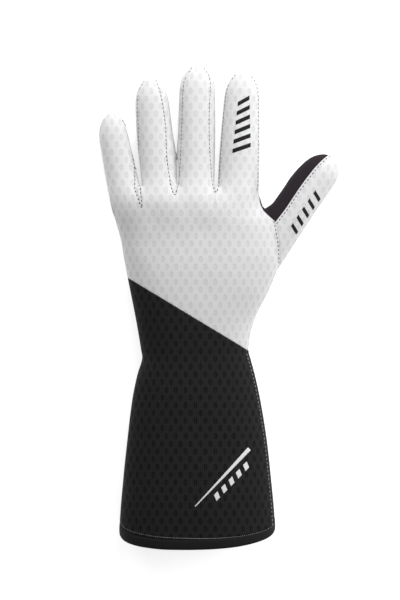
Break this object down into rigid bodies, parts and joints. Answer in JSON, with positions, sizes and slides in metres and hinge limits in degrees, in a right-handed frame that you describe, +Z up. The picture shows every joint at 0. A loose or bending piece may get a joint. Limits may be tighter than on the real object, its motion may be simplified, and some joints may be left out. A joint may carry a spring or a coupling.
{
  "type": "racing driver glove",
  "caption": "Racing driver's glove with a pale knitted back, a dark suede palm, fourchettes between the fingers and a long flared dark gauntlet with a bound hem.",
  "frame": {"origin": "middle of the glove's outline, on the surface that it lies on", "axes": "+Y towards the fingertips, +X towards the thumb, +Z up out of the back of the hand"},
  "size_m": [0.1686, 0.3384, 0.044],
  "materials": {
    "pale_knit": "soft matt knit of fine ribs, with rows of small oval dimples",
    "palm_suede": "dark suede with a short nap",
    "dark_knit": "the same knit as the hand, dyed black, slightly satin",
    "hem_tape": "plain folded tape"
  },
  "bodies": {
    "root": {"back_panel": "pale_knit", "fourchette_little_ring": "pale_knit", "fourchette_ring_middle": "pale_knit", "fourchette_middle_index": "pale_knit", "thumb_back": "pale_knit", "palm_panel": "palm_suede", "thumb_palm": "palm_suede", "gauntlet": "dark_knit", "cuff_binding": "hem_tape"}
  },
  "joints": []
}
